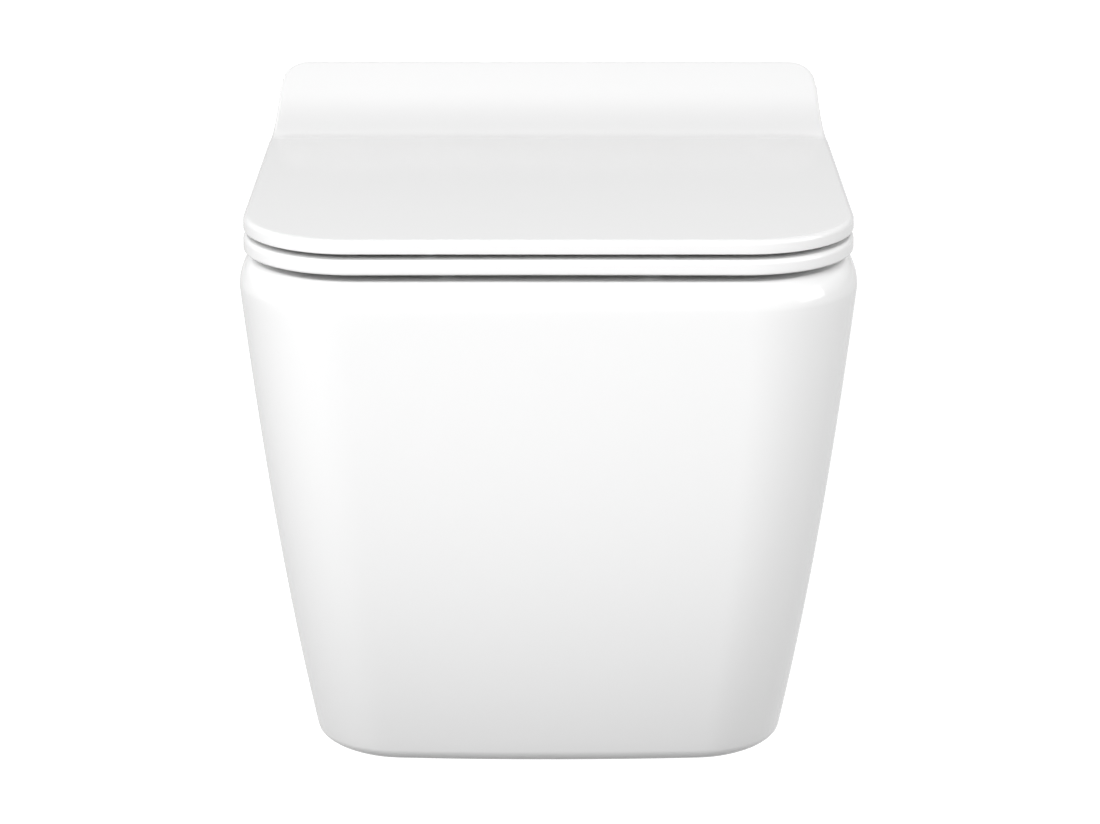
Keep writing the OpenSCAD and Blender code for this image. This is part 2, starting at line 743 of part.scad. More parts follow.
module lid() color(plastic_white) {
    plan = lid_plan();
    n = len(plan);
    corner_first = n / 2 - 4;
    rear_low = 8;
    web = [[-barrel_r + 0.3, 0], [barrel_r - 0.3, 0],
        [12, lid_top + ramp(pivot_y + 12) - plate_t + 2.5 - pivot_z],
        [-12, lid_top + ramp(pivot_y - 12) - plate_t + 2.5 - pivot_z]];
    difference() {
        union() {
            plated([for (i = [0 : n - 1]) let (
                    v = inward(plan, i),
                    k = max(0, min(i, n - 1 - i) - corner_first),
                    share = wall_share[k],
                    edge = [for (a = [0 : 30 : 90]) [edge_r * (1 - cos(a)), edge_r * (1 - sin(a))]])
                concat(
                    [for (t = [lip_w + 1.5]) let (y = plan[i].y + v.y * t)
                        [plan[i].x + v.x * t, y, lid_top + ramp(y) - plate_t]],
                    [for (t = [lip_w, 1.2]) let (y = plan[i].y + v.y * t)
                        [plan[i].x + v.x * t, y, lid_low + share * (lid_t + ramp(y) - rear_low)]],
                    [[plan[i].x, plan[i].y, lid_low + 1.2 + share * (lid_t + ramp(plan[i].y) - rear_low)]],
                    [for (e = edge) let (y = plan[i].y + v.y * e[0])
                        [plan[i].x + v.x * e[0], y, lid_top + ramp(y) - e[1]]])], 4);
            lug_eyes(1) {
                bar_x(lug_in, lug_out, barrel_r);
                slab_x(lug_in, lug_out, web);
            }
            lug_eyes(-1) {
                bar_x(-lug_out, -lug_in, barrel_r);
                slab_x(-lug_out, -lug_in, web);
            }
        }
        lug_eyes(1) flat_sided_hole();
        lug_eyes(-1) bar_x(-lug_out - over, -lug_in + over, bush_r);
        at_lid_buffers() bar_z(lid_top - plate_t - over, lid_top - plate_t + 3.2, 2);
    }
}

module at_lid_buffers() {
    on_both_sides() {
        translate([lid_half - 20, -ramp_from - 40, 0]) children();
        translate([70, lid_front + 18, 0]) children();
    }
}

module lid_buffers() color(rubber) at_lid_buffers() {
    bar_z(seat_top + loose, lid_top - plate_t, 5);
    bar_z(lid_top - plate_t - 0.5, lid_top - plate_t + 3, 2);
}

ceramic_pan();
flow_splitter();
hinge_base_left();
hinge_base_right();
base_gaskets();
base_screws();
expansion_sleeves();
clamp_nuts();
fixing_block_left();
fixing_block_right();
rod_sleeves();
clamp_screws();
side_caps();
hinge_body_left();
hinge_body_right();
seat_damper();
lid_damper();
seat_pivot_pin();
lid_pivot_pin();
latch_clip_left();
latch_clip_right();
release_button_left();
release_button_right();
seat_ring();
seat_buffers();
seat_damper_shaft();
seat_bush();
lid();
lid_buffers();
lid_damper_shaft();
lid_bush();
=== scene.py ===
"""Wall hung toilet: glazed pan, seat ring and lid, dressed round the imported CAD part."""
import json
import math

import bmesh
import bpy
from mathutils import Matrix, Vector


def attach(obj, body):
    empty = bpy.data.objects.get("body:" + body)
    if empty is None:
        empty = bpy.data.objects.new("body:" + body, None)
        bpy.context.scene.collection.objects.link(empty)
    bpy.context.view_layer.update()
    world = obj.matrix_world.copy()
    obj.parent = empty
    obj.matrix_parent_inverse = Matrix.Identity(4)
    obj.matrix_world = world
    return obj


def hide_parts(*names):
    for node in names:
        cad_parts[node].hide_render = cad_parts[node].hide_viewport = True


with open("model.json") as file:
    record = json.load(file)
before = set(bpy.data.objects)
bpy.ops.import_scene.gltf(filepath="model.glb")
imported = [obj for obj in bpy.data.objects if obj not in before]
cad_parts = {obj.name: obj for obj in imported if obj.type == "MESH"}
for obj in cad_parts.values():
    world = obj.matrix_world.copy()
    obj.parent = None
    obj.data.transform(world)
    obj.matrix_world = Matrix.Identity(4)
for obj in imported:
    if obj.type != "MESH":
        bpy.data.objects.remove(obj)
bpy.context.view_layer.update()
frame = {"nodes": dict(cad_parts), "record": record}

# Sizes are in millimetres, as in the part's source, until a piece is finished
MM = 0.001
QUARTER = math.pi / 2
CREASE = math.radians(38)
# How far a cut goes past a face, and how far an added wall goes into its neighbour
OVER, INTO = 1.0, 2.0
# Distance under which points become one, and length under which an edge has none
MERGE, SLIVER = 0.002, 0.001

# Outside of the pan: its sides and front draw in by an even and a curved share of their tapers
PAN_W, PAN_L, PAN_H, RIM_Z = 370.0, 500.0, 306.0, 80.0
SIDE_TAPER, SIDE_EVEN, SIDE_CURVED, SIDE_STOP = 44.0, 0.8, 0.2, 0.1
FRONT_TAPER, FRONT_EVEN, FRONT_CURVED, FRONT_BOW = 50.0, 0.24, 0.76, 8.0
CORNER_W, CORNER_L, CORNER_FADE_W, CORNER_FADE_L, CORNER_RUN = 66.0, 90.0, 20.0, 28.0, 12.0
REAR_DRAW, REAR_EDGE_R = 7.0, 2.0
SHOULDER_H, SHOULDER_IN, SHOULDER_START = 17.0, 8.0, math.radians(9)
FOOT_R, FOOT_TURN = 8.0, math.radians(75)
WALL_T, DECK_T = 11.0, 14.0
FOOT_Z = RIM_Z - PAN_H
SHOULDER_Z = RIM_Z - SHOULDER_H
DECK_LOW = RIM_Z - DECK_T

# Bowl, squarer at its rim than in the sump
RIM_SIDE, RIM_FRONT, RIM_R, RIM_BAND = 47.0, 47.0, 5.0, 4.0
DECK_L, BOWL_D, BOWL_SIDE_POWER, BOWL_BACK_TOP = 143.0, 230.0, 1.8, DECK_T - 4
RIM_SQUARE, SQUARE_LOST = 3.2, 1.2
SUMP_W, SUMP_L, SUMP_BACK = 64.0, 70.0, 53.0
SUMP_REAR = -DECK_L - SUMP_BACK
SUMP_Y = SUMP_REAR - SUMP_L / 2

# Waterway with its bend under the sump, its rising leg and its crest
TRAP_R, TRAP_T, SUMP_BEND_R, SUMP_BEND_UP = 28.0, 9.0, 45.0, 33.0
CREST_BEND_R, CREST_UP, TAIL_L = 40.0, 4.0, 30.0
RISE, FALL = math.radians(70), math.radians(40)

# Waste spigot, flush inlet and duct
OUTLET_Z, OUTLET_R, OUTLET_T, OUTLET_L = -100.0, 51.0, 8.0, 58.0
OUTLET_FREE, OUTLET_COLLAR = 26.0, 2.5
INLET_Z, INLET_R, INLET_T, INLET_L, INLET_END_T = 35.0, 27.5, 10.0, 62.0, 6.0
DUCT_W, DUCT_T, DUCT_LOW, DUCT_HIGH = 60.0, 10.0, 32.0, 58.0
DUCT_MOUTH, DUCT_LAP, DUCT_SET_IN = 7.0, 4.0, 3.0

# Rear of the pan: wall behind the fixing blocks, rod holes, side holes with their caps
BULKHEAD_T, BULKHEAD_LOW, BULKHEAD_INTO_DECK = 14.0, -40.0, 3.0
PAST_REAR, HOLLOW_PAST_REAR = 6.0, 4.0
ROD_SPAN, ROD_HOLE = 180.0, 11.0
SIDE_Y, CAP_HEAD_R, CAP_HEAD_T, CAP_PLUG_R, CAP_REACH, CAP_LAP = -29.0, 10.3, 2.5, 7.5, 6.0, 0.5

# Lid and seat ring
EDGE_R, EDGE_LEAD = 3.0, 2.0
SEAT_LOW, SEAT_T, SEAT_DROP, SEAT_FLAT, SEAT_FOOT_R = RIM_Z + 4.8, 9.0, 2.0, 28.0, 1.5
SEAT_TOP = SEAT_LOW + SEAT_T
LID_LOW, LID_T, PLATE_T, LIP_W = SEAT_TOP + 3.0, 8.7, 6.0, 9.0
LIP_R, LIP_MID, LIP_CUT, UNDER_LEADS = 1.2, 0.35, 0.6, (3.0, 1.5)
LID_TOP = LID_LOW + LID_T
LID_HALF, LID_FRONT, LID_REAR = PAN_W / 2 - 2.5, 2.0 - PAN_L, 57.0
LID_DRAW, LID_CORNER_R, LID_CORNER_RUN, LID_REAR_LOW = 4.5, 17.0, 4.0, 8.0
RAMP_FROM, RAMP_R, RAMP_ANGLE = 153.0, 125.0, math.radians(32)
SEAT_NOSE, SEAT_REAR, SEAT_DRAW, SEAT_CORNER_R = LID_FRONT - 1, -98.0, 1.5, 15.0
SEAT_SIDES = (-330.0, -150.0)
SEAT_FRONT, HOLE_W, HOLE_L, HOLE_DRAW, HOLE_REAR_R = 63.0, 216.0, 258.0, 6.0, 46.0
HOLE_CORNER, HOLE_SIDES = (0.43 * HOLE_W, 0.46 * HOLE_L), (0.5 * HOLE_L, 0.74 * HOLE_L)
DISH_LEAD, DISH_END, DISH_SHARE = 6.0, 4.0, 0.96

# Hinges, whose lugs carry their barrels on arms and webs
HINGE_X, PIVOT_Y, PIVOT_Z, BARREL_R, BARREL_L, LUG_W = 77.5, -76.0, 108.0, 9.5, 39.0, 12.0
PIN_R, FIT, FLAT_HALF, BUSH_R, SEAT_HOLE_R = 4.0, 0.05, 3.05, 5.5, 7.0
BARREL_LAP, WEB_HALF, WEB_SET_IN, LUG_PLAY = 0.3, 12.0, 2.5, 0.5
LUG_IN = BARREL_L / 2 + LUG_PLAY
LUG_OUT = LUG_IN + LUG_W
SEAT_ARM = ((-36, -21.5), (-20, -21.5), (-5, -8.2), (0, BARREL_LAP - BARREL_R), (0, 5),
            (-7.4, 5), (-24, -15.5), (-36, -15.5))

# Points along front, front corner, rear corner and rear of half an outline
PAN_POINTS, SEAT_POINTS, LID_POINTS = (8, 24, 3, 10), (6, 24, 8, 6), (0, 24, 8, 0)
PAN_SIDE_POINTS, SEAT_SIDE_POINTS, LID_SIDE_POINTS = 10, 6, 24

# Rows and sides of the skins
FOOT_ROWS, SIDE_ROWS, SHOULDER_ROWS, RIM_ROWS, BOWL_ROWS = 6, 42, 10, 8, 41
HOLLOW_ROWS, BOWL_BACK_ROWS, BULKHEAD_ROWS = 30, 33, 9
BEND_ROWS, CREST_ROWS, PIPE_SIDES, BAR_SIDES = 21, 17, 48, 72
SEAT_EDGE_ROWS, SEAT_FOOT_ROWS, DISH_ROWS, LID_EDGE_ROWS = 7, 4, 8, 8

# Material slots of the pan while it is cut, and how a face against the wall looks and lies
GLAZED, BARE = 0, 1
FACES_WALL, NEAR_WALL = 0.9, -0.1


# Mesh work

def piece_from(bm, name):
    """Object from a mesh in millimetres, its faces turned outwards."""
    bmesh.ops.recalc_face_normals(bm, faces=bm.faces)
    mesh = bpy.data.meshes.new(name)
    bm.to_mesh(mesh)
    bm.free()
    piece = bpy.data.objects.new(name, mesh)
    bpy.context.scene.collection.objects.link(piece)
    return piece


def discard(piece):
    """Removes a working object and its mesh."""
    worn = piece.data
    bpy.data.objects.remove(piece)
    bpy.data.meshes.remove(worn)


def first_row(bm, points):
    """Closed row of vertices through the points."""
    row = bmesh.ops.create_circle(bm, segments=len(points), radius=1.0)["verts"]
    for vertex, point in zip(row, points):
        vertex.co = point
    return row


def row_edges(bm, row):
    return [bm.edges.get((row[i - 1], row[i])) for i in range(len(row))]


def pull(bm, row, points):
    """Extrudes a closed row and sets the new one on the points."""
    made = bmesh.ops.extrude_edge_only(bm, edges=row_edges(bm, row))["geom"]
    fresh = {g for g in made if isinstance(g, bmesh.types.BMVert)}
    following = []
    for vertex in row:
        across = (edge.other_vert(vertex) for edge in vertex.link_edges)
        following.append(next(v for v in across if v in fresh))
    for vertex, point in zip(following, points):
        vertex.co = point
    return following


def sleeve(rows):
    """Open skin through rows of equal count; gives its mesh, its first and its last row."""
    bm = bmesh.new()
    first = row = first_row(bm, rows[0])
    for points in rows[1:]:
        row = pull(bm, row, points)
    return bm, first, row


def loft(rows):
    """Closed skin through rows of equal count, with a face at both ends."""
    bm, first, last = sleeve(rows)
    for end in (first, last):
        bmesh.ops.contextual_create(bm, geom=end)
    return bm


def bar(start, end, radius):
    """Round bar between two points."""
    start, end = Vector(start), Vector(end)
    bm = bmesh.new()
    bmesh.ops.create_cone(bm, cap_ends=True, segments=BAR_SIDES, radius1=radius, radius2=radius,
                          depth=(end - start).length)
    turn = (end - start).to_track_quat("Z", "Y").to_matrix().to_4x4()
    middle = Matrix.Translation((start + end) / 2)
    bmesh.ops.transform(bm, matrix=middle @ turn, verts=bm.verts)
    return bm


def bar_along_y(y_from, y_to, x, z, radius):
    return bar((x, y_from, z), (x, y_to, z), radius)


def pivot_bar(x_from, x_to, radius):
    """Round bar on the hinges' axis."""
    return bar((x_from, PIVOT_Y, PIVOT_Z), (x_to, PIVOT_Y, PIVOT_Z), radius)


def block(low, high):
    """Square block between two corners."""
    low, high = Vector(low), Vector(high)
    bm = bmesh.new()
    bmesh.ops.create_cube(bm, size=1.0)
    bmesh.ops.scale(bm, vec=high - low, verts=bm.verts)
    bmesh.ops.translate(bm, vec=(low + high) / 2, verts=bm.verts)
    return bm


def slab(outline, x_from, x_to):
    """Flat shape in the Y-Z plane with a thickness along X."""
    bm = bmesh.new()
    first = [bm.verts.new((x_from, y, z)) for y, z in outline]
    face = bmesh.ops.contextual_create(bm, geom=first)["faces"]
    far = bmesh.ops.extrude_face_region(bm, geom=face)["geom"]
    bmesh.ops.translate(bm, vec=(x_to - x_from, 0, 0),
                        verts=[g for g in far if isinstance(g, bmesh.types.BMVert)])
    return bm


def combine(piece, operation, *tools):
    """Adds the tools' shapes to the piece, or cuts them out of it, one after the other."""
    for shape in tools:
        tool = piece_from(shape, "tool")
        step = piece.modifiers.new("step", "BOOLEAN")
        step.operation, step.solver, step.object = operation, "EXACT", tool
        made = bpy.data.meshes.new_from_object(
            piece.evaluated_get(bpy.context.evaluated_depsgraph_get()))
        piece.modifiers.clear()
        worn, piece.data = piece.data, made
        bpy.data.meshes.remove(worn)
        discard(tool)


def finish_piece(piece, body, node, slot):
    """Turns millimetres to metres, smooths, dresses and hangs the piece on its body."""
    bm = bmesh.new()
    bm.from_mesh(piece.data)
    bmesh.ops.remove_doubles(bm, verts=bm.verts, dist=MERGE)
    bmesh.ops.dissolve_degenerate(bm, edges=bm.edges, dist=SLIVER)
    bmesh.ops.scale(bm, vec=(MM, MM, MM), verts=bm.verts)
    for face in bm.faces:
        face.smooth = True
        face.material_index = 0
    for edge in bm.edges:
        edge.smooth = len(edge.link_faces) == 2 and edge.calc_face_angle(0.0) < CREASE
    bm.to_mesh(piece.data)
    bm.free()
    piece.data.materials.clear()
    piece.data.materials.append(FINISHES[slot])
    even = piece.modifiers.new("even_shading", "WEIGHTED_NORMAL")
    even.keep_sharp = True
    even.weight = 50
    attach(piece, body)
    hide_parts(node)


# Outlines

def between(first, last, count):
    """Evenly spaced numbers, both ends included."""
    return [first + (last - first) * i / (count - 1) for i in range(count)]


def half_outline(wide, front, wide_rear, rear, corner, rear_r, sides, bow, points):
    """Right half of a rounded plan, from the middle of its front to the middle of its rear."""
    front_n, corner_n, rear_corner_n, rear_n = points
    corner_w, corner_l = corner
    span = wide - corner_w
    across = [span * (i + 0.5) / (front_n + 0.5) for i in range(front_n)]
    plan = [(x, front + bow * (x / wide) ** 2) for x in across]
    for i in range(corner_n + 1):
        turn = QUARTER * i / corner_n
        x = span + corner_w * math.sin(turn)
        plan.append((x, front + corner_l * (1 - math.cos(turn)) + bow * (x / wide) ** 2))
    for y in sides:
        share = (y - sides[0]) / (rear - sides[0])
        plan.append((wide + (wide_rear - wide) * share, y))
    for i in range(rear_corner_n + 1):
        turn = QUARTER * i / rear_corner_n
        plan.append((wide_rear + rear_r * (math.cos(turn) - 1),
                     rear + rear_r * (math.sin(turn) - 1)))
    for i in range(rear_n):
        plan.append(((wide_rear - rear_r) * (1 - (i + 1) / (rear_n + 0.5)), rear))
    return plan


def whole(half):
    """Closed plan from its right half."""
    return half + [(-x, y) for x, y in reversed(half)]


def lifted(plan, z):
    return [(x, y, z) for x, y in plan]


def inward(plan, i):
    """Unit vector into the plan at one of its points."""
    a, b = Vector(plan[i - 1]), Vector(plan[(i + 1) % len(plan)])
    along = (b - a).normalized()
    return Vector((-along.y, along.x))


# Pan

def drop(z):
    """Share of the way down from the shoulder to the foot."""
    return min(1.0, max(0.0, (SHOULDER_Z - z) / (SHOULDER_Z - FOOT_Z)))


def half_width(z):
    return PAN_W / 2 - SIDE_TAPER * (SIDE_EVEN * drop(z) + SIDE_CURVED * drop(z) ** 2)


def front_edge(z):
    return FRONT_TAPER * (FRONT_EVEN * drop(z) + FRONT_CURVED * drop(z) ** 3) - PAN_L


def side_start(z):
    """Where the straight side starts behind the front corner."""
    return front_edge(z) + CORNER_L + (FRONT_BOW - CORNER_FADE_L) * drop(z) + CORNER_RUN


def pan_plan(z, inset, rear=0.0):
    """Level outline of the pan, set in from its outside by a wall or a rounding."""
    wide = half_width(z) - inset
    start = side_start(z)
    corner = (CORNER_W - CORNER_FADE_W * drop(z), CORNER_L - CORNER_FADE_L * drop(z))
    sides = between(start, start * SIDE_STOP, PAN_SIDE_POINTS)
    return whole(half_outline(wide, front_edge(z) + inset, wide - REAR_DRAW, rear, corner,
                              REAR_EDGE_R, sides, FRONT_BOW * drop(z), PAN_POINTS))


def bowl_half(u):
    """Half width of the bowl at a share of its depth."""
    return SUMP_W / 2 + (PAN_W / 2 - RIM_SIDE - SUMP_W / 2) * (1 - u ** BOWL_SIDE_POWER)


def bowl_front(u):
    return SUMP_REAR - SUMP_L + (RIM_FRONT - PAN_L - SUMP_REAR + SUMP_L) * (1 - u * u)


def bowl_rear(u):
    return -DECK_L - SUMP_BACK * u * u


def signed_power(v, power):
    return math.copysign(abs(v) ** power, v)


def bowl_plan(u, grow, angles):
    """The bowl's squared oval at a share of its depth, grown outwards."""
    power = 2 / (RIM_SQUARE - SQUARE_LOST * u)
    middle = (bowl_front(u) + bowl_rear(u)) / 2
    reach = (bowl_rear(u) - bowl_front(u)) / 2 + grow
    return [((bowl_half(u) + grow) * signed_power(math.cos(a), power),
             middle + reach * signed_power(math.sin(a), power)) for a in angles]


def bowl_angles():
    """The bowl's own angles straight inwards from each point of the rim's outline."""
    power = RIM_SQUARE / 2
    middle = (bowl_front(0) + bowl_rear(0)) / 2
    reach = (bowl_rear(0) - bowl_front(0)) / 2 + RIM_R
    return [math.atan2(signed_power((y - middle) / reach, power),
                       signed_power(x / (bowl_half(0) + RIM_R), power))
            for x, y in pan_plan(RIM_Z, SHOULDER_IN)]


def waterway_path():
    """Stations along the middle of the waterway: Y, Z and the direction of the water."""
    bend_y, bend_z = SUMP_Y + SUMP_BEND_R, RIM_Z - BOWL_D + SUMP_BEND_UP
    rise_end, crest_start = 3 * QUARTER + RISE, QUARTER + RISE
    leg_y = bend_y + SUMP_BEND_R * math.cos(rise_end)
    leg_z = bend_z + SUMP_BEND_R * math.sin(rise_end)
    crest_z = OUTLET_Z + CREST_UP
    leg = (crest_z + CREST_BEND_R * math.sin(crest_start) - leg_z) / math.sin(RISE)
    crest_y = leg_y + leg * math.cos(RISE) - CREST_BEND_R * math.cos(crest_start)
    path = [(bend_y + SUMP_BEND_R * math.cos(a), bend_z + SUMP_BEND_R * math.sin(a), a + QUARTER)
            for a in between(math.pi, rise_end, BEND_ROWS)]
    path += [(crest_y + CREST_BEND_R * math.cos(a), crest_z + CREST_BEND_R * math.sin(a),
              a - QUARTER) for a in between(crest_start, FALL, CREST_ROWS)]
    y, z, heading = path[-1]
    return path + [(y + TAIL_L * math.cos(heading), z + TAIL_L * math.sin(heading), heading)]


def waterway(radius):
    """Round bent bar along the water's path, for the passage or the wall round it."""
    circle = [2 * math.pi * i / PIPE_SIDES for i in range(PIPE_SIDES)]
    return loft([[(radius * math.cos(a), y + radius * math.sin(a) * math.sin(h),
                   z - radius * math.sin(a) * math.cos(h)) for a in circle]
                 for y, z, h in waterway_path()])


def pan_skin():
    """Outside, rim and bowl as one closed surface."""
    foot = [(FOOT_Z + FOOT_R * (1 - math.cos(a)), FOOT_R * (1 - math.sin(a)))
            for a in between(0, FOOT_TURN, FOOT_ROWS)]
    side = [(z, 0.0) for z in between(FOOT_Z + FOOT_R, SHOULDER_Z, SIDE_ROWS)]
    shoulder = [(SHOULDER_Z + SHOULDER_H * math.sin(a), SHOULDER_IN * (1 - math.cos(a)))
                for a in between(SHOULDER_START, QUARTER, SHOULDER_ROWS)]
    outside = [lifted(pan_plan(z, inset), z) for z, inset in foot + side + shoulder]
    angles = bowl_angles()
    flat = [lifted(bowl_plan(0, RIM_R + RIM_BAND, angles), RIM_Z)]
    edge = []
    for a in between(QUARTER, 0, RIM_ROWS):
        depth = RIM_R * (1 - math.sin(a))
        plan = bowl_plan(depth / BOWL_D, RIM_R * (1 - math.cos(a)), angles)
        edge.append(lifted(plan, RIM_Z - depth))
    inside = [lifted(bowl_plan(d / BOWL_D, 0, angles), RIM_Z - d)
              for d in between(RIM_R, BOWL_D, BOWL_ROWS)[1:]]
    return loft(outside + flat + edge + inside)


def pan_hollow():
    """Room between the outer walls, open at the rear."""
    return loft([lifted(pan_plan(z, WALL_T, HOLLOW_PAST_REAR), z)
                 for z in between(FOOT_Z + WALL_T, DECK_LOW, HOLLOW_ROWS)])


def bowl_back():
    """Outside of the bowl's wall, inside the hollow."""
    angles = bowl_angles()
    rows = []
    for d in between(BOWL_D, BOWL_BACK_TOP, BOWL_BACK_ROWS):
        wall = WALL_T * (d - BOWL_BACK_TOP) / (BOWL_D - BOWL_BACK_TOP)
        rows.append(lifted(bowl_plan(d / BOWL_D, WALL_T, angles), RIM_Z - d - wall))
    return loft(rows)


def bulkhead():
    """Wall across the back of the pan that the fixing blocks press on."""
    rows = between(BULKHEAD_LOW, DECK_LOW + BULKHEAD_INTO_DECK, BULKHEAD_ROWS)
    edge = [(half_width(z) - REAR_DRAW - WALL_T / 2, z) for z in rows]
    return loft([[(x, y, z) for x, z in whole(edge)] for y in (-BULKHEAD_T, PAST_REAR)])


def hollow_with_walls():
    """The hollow less the bowl, waterway, spigot, inlet and duct that stand in it, as a mesh."""
    hollow = piece_from(pan_hollow(), "pan_hollow")
    outlet_end = -OUTLET_L - OUTLET_T
    combine(hollow, "DIFFERENCE",
            bulkhead(),
            bowl_back(),
            waterway(TRAP_R + TRAP_T),
            bar_along_y(outlet_end, PAST_REAR, 0, OUTLET_Z, OUTLET_R),
            bar_along_y(outlet_end, -OUTLET_FREE, 0, OUTLET_Z, OUTLET_R + OUTLET_COLLAR),
            bar_along_y(-INLET_L - INLET_END_T, PAST_REAR, 0, INLET_Z, INLET_R + INLET_T),
            block((-DUCT_W / 2 - DUCT_T, -DECK_L + DUCT_SET_IN, DUCT_LOW - DUCT_T),
                  (DUCT_W / 2 + DUCT_T, -INLET_L + INTO, DECK_LOW + INTO)))
    cavity = bmesh.new()
    cavity.from_mesh(hollow.data)
    for face in cavity.faces:
        face.material_index = BARE
    discard(hollow)
    return cavity


def side_holes(side):
    """Holes on one side: wall rod, seat fixing, and the stepped hole of the clamp screw's cap."""
    side_x = half_width(0) - REAR_DRAW * (1 - SIDE_Y / side_start(0))
    slope = SIDE_TAPER * (SIDE_EVEN + 2 * SIDE_CURVED * drop(0)) / (SHOULDER_Z - FOOT_Z)
    lean = math.atan(slope)
    along = Vector((side * math.cos(lean), 0, -math.sin(lean)))
    mouth = Vector((side * side_x, SIDE_Y, 0))
    hinge_x = side * HINGE_X
    return [bar_along_y(-BULKHEAD_T - OVER, OVER, side * ROD_SPAN / 2, 0, ROD_HOLE),
            bar((hinge_x, PIVOT_Y, DECK_LOW - OVER), (hinge_x, PIVOT_Y, RIM_Z + OVER), SEAT_HOLE_R),
            bar(mouth - along * CAP_HEAD_T, mouth + along * CAP_REACH, CAP_HEAD_R),
            bar(mouth - along * (WALL_T + CAP_REACH), mouth - along * (CAP_HEAD_T - CAP_LAP),
                CAP_PLUG_R)]


def make_pan():
    """The pan's skin, cut by its hollow, its waterways and its holes."""
    pan = piece_from(pan_skin(), "pan_ceramic")
    for _ in (GLAZED, BARE):
        pan.data.materials.append(FINISHES["glazed_ceramic"])
    combine(pan, "DIFFERENCE",
            hollow_with_walls(),
            waterway(TRAP_R),
            bar_along_y(-OUTLET_L, OVER, 0, OUTLET_Z, OUTLET_R - OUTLET_T),
            bar_along_y(-INLET_L, OVER, 0, INLET_Z, INLET_R),
            block((-DUCT_W / 2, -DECK_L - DUCT_MOUTH, DUCT_LOW),
                  (DUCT_W / 2, -INLET_L + DUCT_LAP, DUCT_HIGH)),
            *side_holes(-1),
            *side_holes(1))
    mark_bare(pan)
    return pan


def mark_bare(pan):
    """Marks the hollow and the face against the wall, which carry no glaze."""
    bm = bmesh.new()
    bm.from_mesh(pan.data)
    bare = bm.faces.layers.float.new("bare")
    for face in bm.faces:
        on_wall = face.normal.y > FACES_WALL and face.calc_center_median().y > NEAR_WALL
        face[bare] = 1.0 if on_wall or face.material_index == BARE else 0.0
    bm.to_mesh(pan.data)
    bm.free()


# Seat and lid

def seat_outlines():
    """The seat ring's outer and inner plans, point by point beside each other."""
    outer = half_outline(LID_HALF, SEAT_NOSE, LID_HALF - SEAT_DRAW, SEAT_REAR,
                         (CORNER_W, CORNER_L), SEAT_CORNER_R,
                         between(*SEAT_SIDES, SEAT_SIDE_POINTS), 0.0, SEAT_POINTS)
    front = SEAT_NOSE + SEAT_FRONT
    side_from, side_to = (front + along for along in HOLE_SIDES)
    inner = half_outline(HOLE_W / 2, front, HOLE_W / 2 - HOLE_DRAW, front + HOLE_L, HOLE_CORNER,
                         HOLE_REAR_R, between(side_from, side_to, SEAT_SIDE_POINTS), 0.0,
                         SEAT_POINTS)
    return whole(outer), whole(inner)


def seat_section(w):
    """The ring's section where it is so wide: how far in and how high each of its points lies."""
    quarter = between(0, QUARTER, SEAT_EDGE_ROWS)
    foot = [(SEAT_FOOT_R * (1 - math.sin(a)), SEAT_LOW + SEAT_FOOT_R * (1 - math.cos(a)))
            for a in between(0, QUARTER, SEAT_FOOT_ROWS)]
    rim = [(EDGE_R * (1 - math.cos(a)), SEAT_TOP - EDGE_R * (1 - math.sin(a))) for a in quarter]
    dish_from, dish_to = SEAT_FLAT - DISH_LEAD, w - EDGE_R - DISH_END
    dish = []
    for share in between(0, 1, DISH_ROWS):
        fall = SEAT_DROP * share * share * (3 - 2 * share) * DISH_SHARE
        dish.append((dish_from + (dish_to - dish_from) * share, SEAT_TOP - fall))
    lip = [(w - EDGE_R * (1 - math.cos(a)), SEAT_TOP - SEAT_DROP - EDGE_R * (1 - math.sin(a)))
           for a in reversed(quarter)]
    sole = [(w - s, z) for s, z in reversed(foot)]
    return foot + rim + [(EDGE_R + EDGE_LEAD, SEAT_TOP)] + dish + lip + sole


def seat_rows():
    """Rows of points round the seat ring, from its foot over the top and back."""
    columns = []
    for (ox, oy), (ix, iy) in zip(*seat_outlines()):
        away = Vector((ix - ox, iy - oy))
        w = away.length
        away.normalize()
        columns.append([(ox + away.x * s, oy + away.y * s, z) for s, z in seat_section(w)])
    return [list(row) for row in zip(*columns)]


def keyed_hole(x_from, x_to):
    """Round hole with two flats that holds a damper's shaft."""
    bm = pivot_bar(x_from - OVER, x_to + OVER, PIN_R + FIT)
    for vertex in bm.verts:
        vertex.co.z = max(PIVOT_Z - FLAT_HALF, min(PIVOT_Z + FLAT_HALF, vertex.co.z))
    bmesh.ops.remove_doubles(bm, verts=bm.verts, dist=SLIVER)
    return bm


def add_lugs(shell, outline, spans, keyed, bushed):
    """Two lugs with their barrels, one bored for the damper's shaft and one for a bush."""
    combine(shell, "UNION", *[slab(outline, *span) for span in spans])
    combine(shell, "UNION", *[pivot_bar(*span, BARREL_R) for span in spans])
    x_from, x_to = spans[bushed]
    combine(shell, "DIFFERENCE", keyed_hole(*spans[keyed]),
            pivot_bar(x_from - OVER, x_to + OVER, BUSH_R))


def make_seat():
    """Seat ring with its two lugs."""
    bm, first, last = sleeve(seat_rows())
    bmesh.ops.bridge_loops(bm, edges=row_edges(bm, first) + row_edges(bm, last))
    seat = piece_from(bm, "seat_ring_shell")
    arm = [(PIVOT_Y + y, PIVOT_Z + z) for y, z in SEAT_ARM]
    # Seat lugs stand on the inner side of both barrels
    spans = [(-HINGE_X + LUG_IN, -HINGE_X + LUG_OUT), (HINGE_X - LUG_OUT, HINGE_X - LUG_IN)]
    add_lugs(seat, arm, spans, keyed=0, bushed=1)
    return seat


